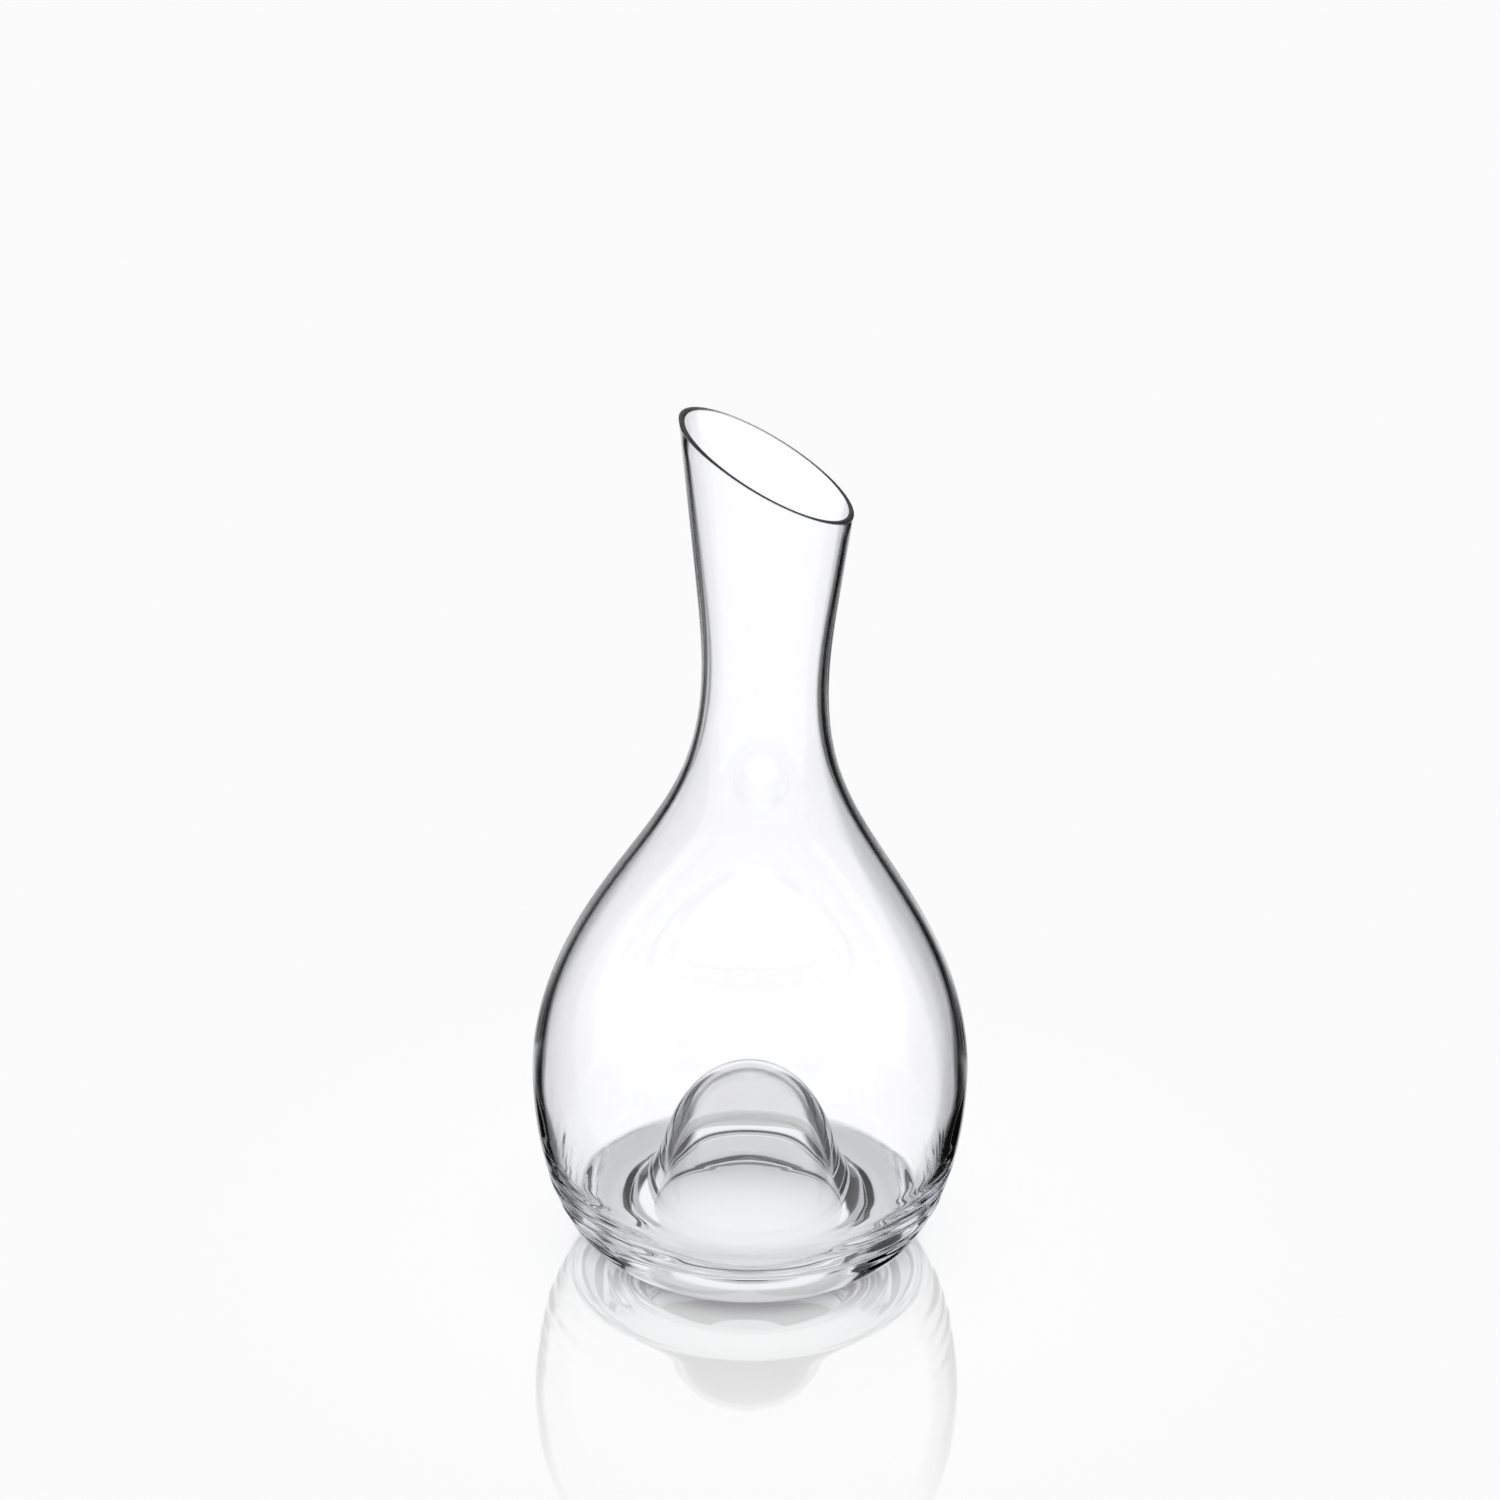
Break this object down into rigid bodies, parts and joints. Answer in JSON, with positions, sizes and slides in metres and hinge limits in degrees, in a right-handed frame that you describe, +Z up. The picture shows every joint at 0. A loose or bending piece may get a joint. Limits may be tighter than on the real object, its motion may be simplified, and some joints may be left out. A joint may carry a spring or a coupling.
{
  "type": "wine decanter",
  "caption": "Clear blown-glass wine decanter: round bulb with a deep punt, narrow throat and a flared, slightly leaning neck with a slanted ground mouth.",
  "frame": {"origin": "centre of the base, on the plane of the contact ring", "axes": "+Z up along the vessel's axis; +X towards the low, pouring side of the slanted mouth"},
  "size_m": [0.14, 0.14, 0.2851],
  "materials": {
    "clear_glass": "fire-polished colourless blown glass with faint ripples towards the base; the mouth is ground and polished"
  },
  "bodies": {
    "root": {"glass_vessel": "clear_glass"}
  },
  "joints": []
}
